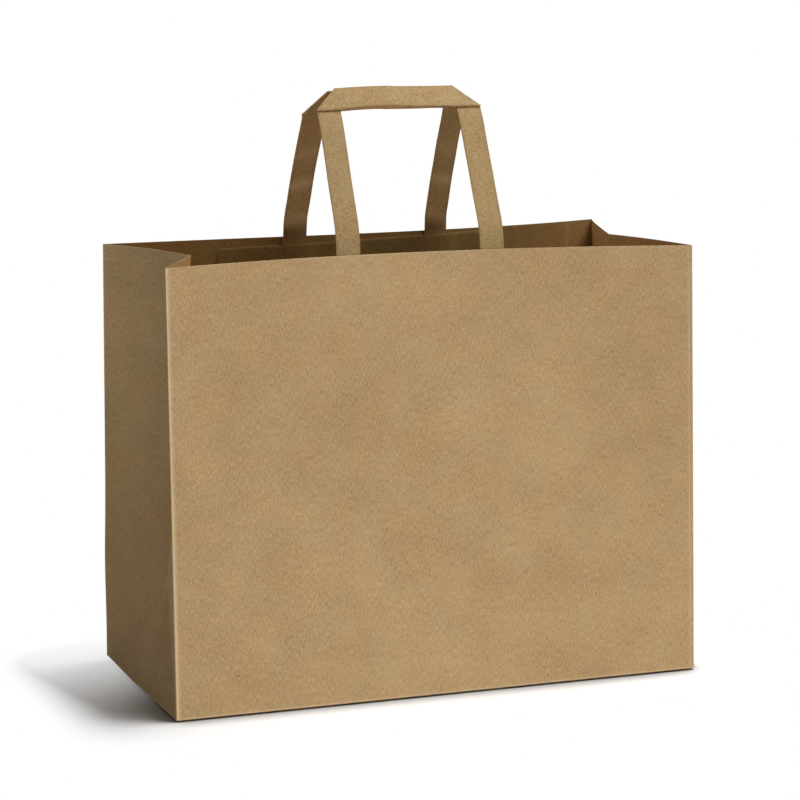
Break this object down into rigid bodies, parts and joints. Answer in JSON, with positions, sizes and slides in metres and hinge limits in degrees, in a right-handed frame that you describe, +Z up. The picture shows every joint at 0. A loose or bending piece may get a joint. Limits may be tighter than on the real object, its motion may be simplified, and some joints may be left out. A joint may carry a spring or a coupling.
{
  "type": "flat handle paper bag",
  "caption": "Open-topped kraft paper carrier bag with a block bottom, sides creased inwards and flat folded paper handles.",
  "frame": {"origin": "the middle of the base, in the plane that the bag stands on", "axes": "+X along the wide front panel to the right, +Y from the front panel to the back panel, +Z up"},
  "size_m": [0.35, 0.1658, 0.3744],
  "materials": {
    "bag_paper": "matt brown kraft paper with fine fibres",
    "strap_paper": "matt brown kraft paper, folded into a flat strap",
    "patch_paper": "matt brown kraft paper"
  },
  "bodies": {
    "root": {"bag_body": "bag_paper", "front_handle": "strap_paper", "back_handle": "strap_paper", "front_patch": "patch_paper", "back_patch": "patch_paper"}
  },
  "joints": []
}
